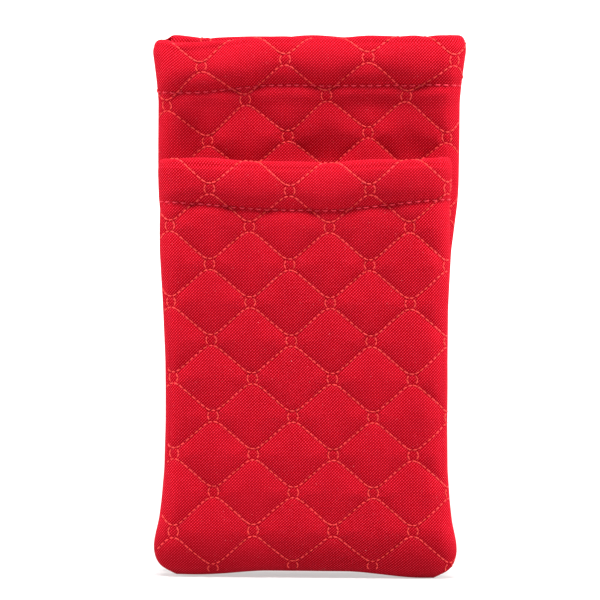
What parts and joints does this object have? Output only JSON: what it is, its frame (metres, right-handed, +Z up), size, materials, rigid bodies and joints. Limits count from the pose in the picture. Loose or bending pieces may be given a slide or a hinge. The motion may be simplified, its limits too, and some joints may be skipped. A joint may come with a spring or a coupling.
{
  "type": "soft pouch glasses case",
  "caption": "Soft quilted fabric glasses case with a tall rear pocket and a shorter front pocket, each closed by a squeeze-open spring strip frame.",
  "frame": {"origin": "centre of the footprint, at the bottom of the case", "axes": "+Z up towards the mouths, +X to the right and -Y towards the viewer, who faces the shorter front pocket"},
  "size_m": [0.1, 0.025, 0.1735],
  "materials": {
    "quilted_fabric": "red plain-weave fabric, quilted in diamonds with a small stitched ring at each crossing",
    "lining_fabric": "smooth dark red lining cloth",
    "spring_steel": "plain rolled spring strip"
  },
  "bodies": {
    "root": {"rear_front_panel_middle": "quilted_fabric", "rear_front_lining_middle": "lining_fabric", "rear_front_strip_middle": "spring_steel", "rear_bottom_fold": "quilted_fabric", "front_back_panel_middle": "quilted_fabric", "front_back_lining_middle": "lining_fabric", "front_back_strip_middle": "spring_steel", "front_bottom_fold": "quilted_fabric"},
    "rear_back_wall_middle": {"rear_back_panel_middle": "quilted_fabric", "rear_back_lining_middle": "lining_fabric", "rear_back_strip_middle": "spring_steel"},
    "rear_back_wall_left": {"rear_back_panel_left": "quilted_fabric", "rear_back_lining_left": "lining_fabric", "rear_back_strip_left": "spring_steel"},
    "rear_back_wall_right": {"rear_back_panel_right": "quilted_fabric", "rear_back_lining_right": "lining_fabric", "rear_back_strip_right": "spring_steel"},
    "rear_front_wall_left": {"rear_front_panel_left": "quilted_fabric", "rear_front_lining_left": "lining_fabric", "rear_front_strip_left": "spring_steel"},
    "rear_front_wall_right": {"rear_front_panel_right": "quilted_fabric", "rear_front_lining_right": "lining_fabric", "rear_front_strip_right": "spring_steel"},
    "rear_side_seam_left": {"rear_left_side_seam": "quilted_fabric", "rear_left_pin": "spring_steel"},
    "rear_side_seam_right": {"rear_right_side_seam": "quilted_fabric", "rear_right_pin": "spring_steel"},
    "front_front_wall_middle": {"front_front_panel_middle": "quilted_fabric", "front_front_lining_middle": "lining_fabric", "front_front_strip_middle": "spring_steel"},
    "front_back_wall_left": {"front_back_panel_left": "quilted_fabric", "front_back_lining_left": "lining_fabric", "front_back_strip_left": "spring_steel"},
    "front_back_wall_right": {"front_back_panel_right": "quilted_fabric", "front_back_lining_right": "lining_fabric", "front_back_strip_right": "spring_steel"},
    "front_front_wall_left": {"front_front_panel_left": "quilted_fabric", "front_front_lining_left": "lining_fabric", "front_front_strip_left": "spring_steel"},
    "front_front_wall_right": {"front_front_panel_right": "quilted_fabric", "front_front_lining_right": "lining_fabric", "front_front_strip_right": "spring_steel"},
    "front_side_seam_left": {"front_left_side_seam": "quilted_fabric", "front_left_pin": "spring_steel"},
    "front_side_seam_right": {"front_right_side_seam": "quilted_fabric", "front_right_pin": "spring_steel"}
  },
  "joints": [
    {"name": "rear_mouth_open", "type": "hinge", "parent": "root", "child": "rear_back_wall_middle", "pos_m": [0, 0.0064, 0.00594], "axis": [-1, 0, 0], "range_deg": [0, 9.5], "stiffness_Nm_per_rad": 1.6, "springref_deg": -3.44},
    {"name": "rear_back_crease_left", "type": "hinge", "parent": "rear_back_wall_middle", "child": "rear_back_wall_left", "pos_m": [-0.044, 0.0086, 0.00594], "axis": [0.1876, 0, 0.9822], "range_deg": [0, 25.9]},
    {"name": "rear_back_crease_right", "type": "hinge", "parent": "rear_back_wall_middle", "child": "rear_back_wall_right", "pos_m": [0.044, 0.0086, 0.00594], "axis": [0.1876, 0, -0.9822], "range_deg": [0, 25.9]},
    {"name": "rear_front_crease_left", "type": "hinge", "parent": "root", "child": "rear_front_wall_left", "pos_m": [-0.044, 0.0042, 0.00594], "axis": [-0.1876, 0, -0.9822], "range_deg": [0, 25.9]},
    {"name": "rear_front_crease_right", "type": "hinge", "parent": "root", "child": "rear_front_wall_right", "pos_m": [0.044, 0.0042, 0.00594], "axis": [-0.1876, 0, 0.9822], "range_deg": [0, 25.9]},
    {"name": "rear_pin_line_left", "type": "hinge", "parent": "rear_front_wall_left", "child": "rear_side_seam_left", "pos_m": [-0.044, 0.0064, 0.00594], "axis": [-0.0038, 0, 1], "range_deg": [0, 25.5]},
    {"name": "rear_pin_line_right", "type": "hinge", "parent": "rear_front_wall_right", "child": "rear_side_seam_right", "pos_m": [0.044, 0.0064, 0.00594], "axis": [-0.0038, 0, -1], "range_deg": [0, 25.5]},
    {"name": "front_mouth_open", "type": "hinge", "parent": "root", "child": "front_front_wall_middle", "pos_m": [0, -0.0064, 0.00594], "axis": [1, 0, 0], "range_deg": [0, 12.4], "stiffness_Nm_per_rad": 1.2, "springref_deg": -3.44},
    {"name": "front_back_crease_left", "type": "hinge", "parent": "root", "child": "front_back_wall_left", "pos_m": [-0.044, -0.0042, 0.00594], "axis": [0.2424, 0, 0.9702], "range_deg": [0, 27.7]},
    {"name": "front_back_crease_right", "type": "hinge", "parent": "root", "child": "front_back_wall_right", "pos_m": [0.044, -0.0042, 0.00594], "axis": [0.2424, 0, -0.9702], "range_deg": [0, 27.7]},
    {"name": "front_front_crease_left", "type": "hinge", "parent": "front_front_wall_middle", "child": "front_front_wall_left", "pos_m": [-0.044, -0.0086, 0.00594], "axis": [-0.2424, 0, -0.9702], "range_deg": [0, 27.7]},
    {"name": "front_front_crease_right", "type": "hinge", "parent": "front_front_wall_middle", "child": "front_front_wall_right", "pos_m": [0.044, -0.0086, 0.00594], "axis": [-0.2424, 0, 0.9702], "range_deg": [0, 27.7]},
    {"name": "front_pin_line_left", "type": "hinge", "parent": "front_back_wall_left", "child": "front_side_seam_left", "pos_m": [-0.044, -0.0064, 0.00594], "axis": [-0.0083, 0, -1], "range_deg": [0, 26.9]},
    {"name": "front_pin_line_right", "type": "hinge", "parent": "front_back_wall_right", "child": "front_side_seam_right", "pos_m": [0.044, -0.0064, 0.00594], "axis": [-0.0083, 0, 1], "range_deg": [0, 26.9]}
  ],
  "couplings": [
    {"joint": "rear_back_crease_left", "follows": "rear_mouth_open", "ratio": 2.713},
    {"joint": "rear_back_crease_right", "follows": "rear_mouth_open", "ratio": 2.713},
    {"joint": "rear_front_crease_left", "follows": "rear_mouth_open", "ratio": 2.713},
    {"joint": "rear_front_crease_right", "follows": "rear_mouth_open", "ratio": 2.713},
    {"joint": "rear_pin_line_left", "follows": "rear_mouth_open", "ratio": 2.665},
    {"joint": "rear_pin_line_right", "follows": "rear_mouth_open", "ratio": 2.665},
    {"joint": "front_back_crease_left", "follows": "front_mouth_open", "ratio": 2.224},
    {"joint": "front_back_crease_right", "follows": "front_mouth_open", "ratio": 2.224},
    {"joint": "front_front_crease_left", "follows": "front_mouth_open", "ratio": 2.224},
    {"joint": "front_front_crease_right", "follows": "front_mouth_open", "ratio": 2.224},
    {"joint": "front_pin_line_left", "follows": "front_mouth_open", "ratio": 2.161},
    {"joint": "front_pin_line_right", "follows": "front_mouth_open", "ratio": 2.161}
  ]
}
